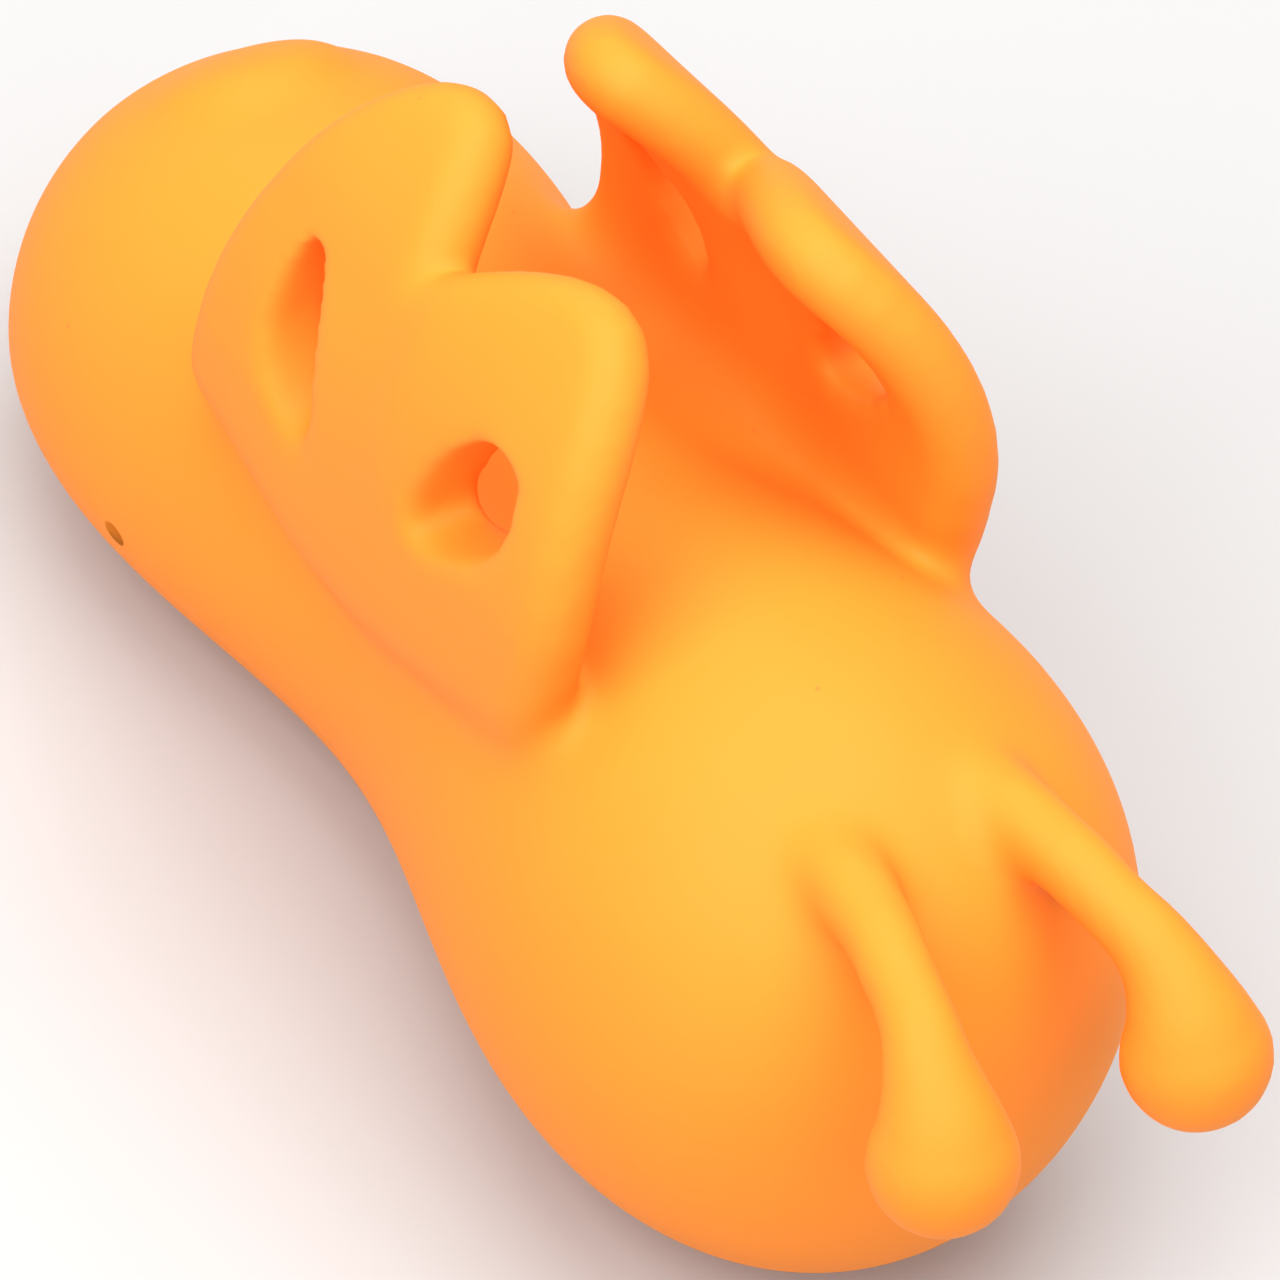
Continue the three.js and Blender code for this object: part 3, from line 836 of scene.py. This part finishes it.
hollow = body_ball(SKIN_THICKNESS, "hollow")
hollow.matrix_world = drawing_to_metres
apply_place(hollow)
bpy.ops.object.mode_set(mode="EDIT")
bpy.ops.mesh.select_all(action="SELECT")
bpy.ops.mesh.flip_normals()
bpy.ops.object.mode_set(mode="OBJECT")
bpy.ops.object.shade_smooth()
skin = join([skin, hollow], "soft_skin")

bpy.ops.mesh.primitive_cylinder_add(
    vertices=32,
    radius=PINHOLE_RADIUS,
    depth=15,
    location=PINHOLE_AT,
    rotation=(math.pi / 2, 0, 0),
)
bore = bpy.context.object
apply_place(bore)
bore.matrix_world = drawing_to_metres
apply_place(bore)
apply_modifier(skin, "BOOLEAN", operation="DIFFERENCE", object=bore, solver="EXACT")
bpy.data.objects.remove(bore)
print("skin faces:", len(skin.data.polygons))

# %% [markdown]
# ## No line at the partings
# Smooth shading averages the faces round each vertex, and at a parting half of them are gone,
# so a faint line would show. Each piece is given the directions that the whole skin had, looked
# up at the nearest noted vertices. The inner wall is too far from them, and keeps its own.

# %% Give the pieces the whole skin's directions
ON_THE_SKIN = 0.0005


def direction_near(place, fallback):
    """The whole skin's direction at a place on it, averaged over the nearest vertices."""
    found = skin_normals.find_n(place, 4)
    if found[0][2] > ON_THE_SKIN:
        return fallback
    total = Vector((0, 0, 0))
    for _, index, away in found:
        total += normal_at[index] / (away + 1e-6)
    return total.normalized()


for piece in soft_pieces.values():
    directions = [direction_near(v.co, v.normal.copy()) for v in piece.data.vertices]
    piece.data.normals_split_custom_set_from_vertices(directions)
    print(piece.name, "keeps the skin's directions")

# %% [markdown]
# ## The silicone
# Matte silicone is almost plain, but it isn't flat: the colour drifts a little, a very fine
# grain breaks up the light, and a few specks of dust cling to it. A wide noise gives the drift,
# a fine one the grain, and small cells give the specks. The shine is weak and wide.

# %% A finish with drift and grain


def grained(name, colour, drift, scale, roughness, spread=0.06, metallic=0, bump=0.04):
    """A finish whose colour and roughness wander a little, with a fine grain in its surface."""
    material = bpy.data.materials.new(name)
    material.use_nodes = True
    nodes, links = material.node_tree.nodes, material.node_tree.links
    shader = nodes["Principled BSDF"]
    shader.inputs["Metallic"].default_value = metallic
    place = nodes.new("ShaderNodeTexCoord")
    cloud = nodes.new("ShaderNodeTexNoise")
    cloud.inputs["Scale"].default_value = scale
    cloud.inputs["Detail"].default_value = 3
    links.new(place.outputs["Object"], cloud.inputs["Vector"])
    tone = nodes.new("ShaderNodeMix")
    tone.data_type = "RGBA"
    tone.inputs["A"].default_value = (*colour, 1)
    tone.inputs["B"].default_value = (*drift, 1)
    links.new(cloud.outputs["Fac"], tone.inputs["Factor"])
    links.new(tone.outputs["Result"], shader.inputs["Base Color"])
    rough = nodes.new("ShaderNodeMapRange")
    rough.inputs["To Min"].default_value = roughness - spread
    rough.inputs["To Max"].default_value = roughness + spread
    links.new(cloud.outputs["Fac"], rough.inputs["Value"])
    links.new(rough.outputs["Result"], shader.inputs["Roughness"])
    grain = nodes.new("ShaderNodeTexNoise")
    grain.inputs["Scale"].default_value = scale * 40
    grain.inputs["Detail"].default_value = 2
    links.new(place.outputs["Object"], grain.inputs["Vector"])
    relief = nodes.new("ShaderNodeBump")
    relief.inputs["Strength"].default_value = bump
    relief.inputs["Distance"].default_value = 0.0002
    links.new(grain.outputs["Fac"], relief.inputs["Height"])
    links.new(relief.outputs["Normal"], shader.inputs["Normal"])
    return material, shader, tone, place


print("finish tool ready")

# %% Silicone finish
ORANGE, PALER_ORANGE = (1.0, 0.262, 0.022), (1.0, 0.292, 0.03)
DUST = (0.75, 0.18, 0.03)
silicone, shader, tone, place = grained("orange_silicone", ORANGE, PALER_ORANGE, 60, 0.58)
shader.inputs["Specular IOR Level"].default_value = 0.16
nodes, links = silicone.node_tree.nodes, silicone.node_tree.links
dust = nodes.new("ShaderNodeTexVoronoi")
dust.inputs["Scale"].default_value = 170
links.new(place.outputs["Object"], dust.inputs["Vector"])
speck = nodes.new("ShaderNodeMapRange")
speck.inputs["From Min"].default_value = 0.018
speck.inputs["From Max"].default_value = 0.035
speck.inputs["To Min"].default_value = 0.5
speck.inputs["To Max"].default_value = 0
links.new(dust.outputs["Distance"], speck.inputs["Value"])
dusted = nodes.new("ShaderNodeMix")
dusted.data_type = "RGBA"
dusted.inputs["B"].default_value = (*DUST, 1)
links.new(speck.outputs["Result"], dusted.inputs["Factor"])
links.new(tone.outputs["Result"], dusted.inputs["A"])
links.new(dusted.outputs["Result"], shader.inputs["Base Color"])
for piece in soft_pieces.values():
    piece.data.materials.clear()
    piece.data.materials.append(silicone)
print("silicone on", len(soft_pieces), "pieces")

# %% [markdown]
# ## Finishes of the hard parts inside
# The core shell, motor, battery and board keep their CAD shapes. Each gets a finish that suits
# what it is: moulded plastic has a faint grain, metals are smooth with slight stains, foam and
# rubber are dull, and the wires are glossy plastic.

# %% Inner finishes
inner_finishes = {
    "white_plastic": ((0.84, 0.81, 0.75), (0.8, 0.77, 0.7), 80, 0.42, 0.05, 0.0, 0.05),
    "black_plastic": ((0.018, 0.018, 0.02), (0.03, 0.03, 0.032), 120, 0.38, 0.06, 0.0, 0.05),
    "black_rubber": ((0.03, 0.03, 0.03), (0.045, 0.043, 0.04), 150, 0.8, 0.08, 0.0, 0.12),
    "grey_foam": ((0.16, 0.17, 0.18), (0.24, 0.25, 0.26), 400, 0.92, 0.05, 0.0, 0.5),
    "brushed_steel": ((0.6, 0.61, 0.62), (0.5, 0.51, 0.53), 90, 0.28, 0.08, 1.0, 0.03),
    "dark_tungsten": ((0.28, 0.29, 0.31), (0.22, 0.22, 0.24), 200, 0.4, 0.1, 1.0, 0.1),
    "wound_copper": ((0.72, 0.33, 0.16), (0.6, 0.26, 0.12), 250, 0.35, 0.08, 1.0, 0.15),
    "bright_brass": ((0.72, 0.52, 0.2), (0.62, 0.43, 0.16), 150, 0.3, 0.07, 1.0, 0.03),
    "cell_film": ((0.48, 0.52, 0.58), (0.42, 0.46, 0.53), 70, 0.33, 0.08, 0.6, 0.06),
    "board_green": ((0.014, 0.14, 0.045), (0.02, 0.19, 0.07), 220, 0.45, 0.08, 0.0, 0.05),
    "clear_lens": ((0.9, 0.92, 0.97), (0.85, 0.88, 0.95), 100, 0.12, 0.03, 0.0, 0.01),
    "red_lead": ((0.5, 0.02, 0.015), (0.42, 0.015, 0.012), 200, 0.4, 0.06, 0.0, 0.03),
    "black_lead": ((0.008, 0.008, 0.008), (0.015, 0.015, 0.015), 200, 0.4, 0.06, 0.0, 0.03),
}
parts_in = {
    "white_plastic": ["core_shell_top", "core_shell_bottom", "motor_cradle"],
    "black_plastic": [
        "switch_stem", "switch_housing", "motor_end_cap", "control_chip", "charger_chip",
        "charging_jack",
    ],
    "black_rubber": ["core_gasket", "button_plunger", "motor_sleeve"],
    "grey_foam": ["battery_foam"],
    "brushed_steel": ["motor_can", "motor_shaft"],
    "dark_tungsten": ["eccentric_weight"],
    "wound_copper": ["motor_rotor", "board_inductor"],
    "bright_brass": ["jack_pin"],
    "cell_film": ["battery_cell"],
    "board_green": ["switch_board", "circuit_board"],
    "clear_lens": ["status_led"],
    "red_lead": ["motor_lead_red", "switch_lead_red", "battery_lead_red"],
    "black_lead": ["motor_lead_black", "switch_lead_black", "battery_lead_black"],
}
for finish, (colour, drift, scale, rough, spread, metallic, bump) in inner_finishes.items():
    material = grained(finish, colour, drift, scale, rough, spread, metallic, bump)[0]
    for node in parts_in[finish]:
        part = frame["nodes"][node]
        part.data.materials.clear()
        part.data.materials.append(material)
finished = [node for nodes_in in parts_in.values() for node in nodes_in]
print("plain parts left:", sorted(set(frame["nodes"]) - set(finished) - set(soft_pieces)))

# %% [markdown]
# ## Handing over to the frame
# Each soft piece stands for its CAD node, which is hidden. The skin rides on the body. The
# wings, the antennae and the button are not attached to a body here; their place is baked into
# their meshes.

# %% Hand over to the frame
for node, piece in soft_pieces.items():
    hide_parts(node)
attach(skin, "root")
for side, word in SIDES:
    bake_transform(soft_pieces[f"wing_{word}"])
    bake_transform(soft_pieces[f"antenna_{word}"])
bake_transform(soft_pieces["button_pad"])
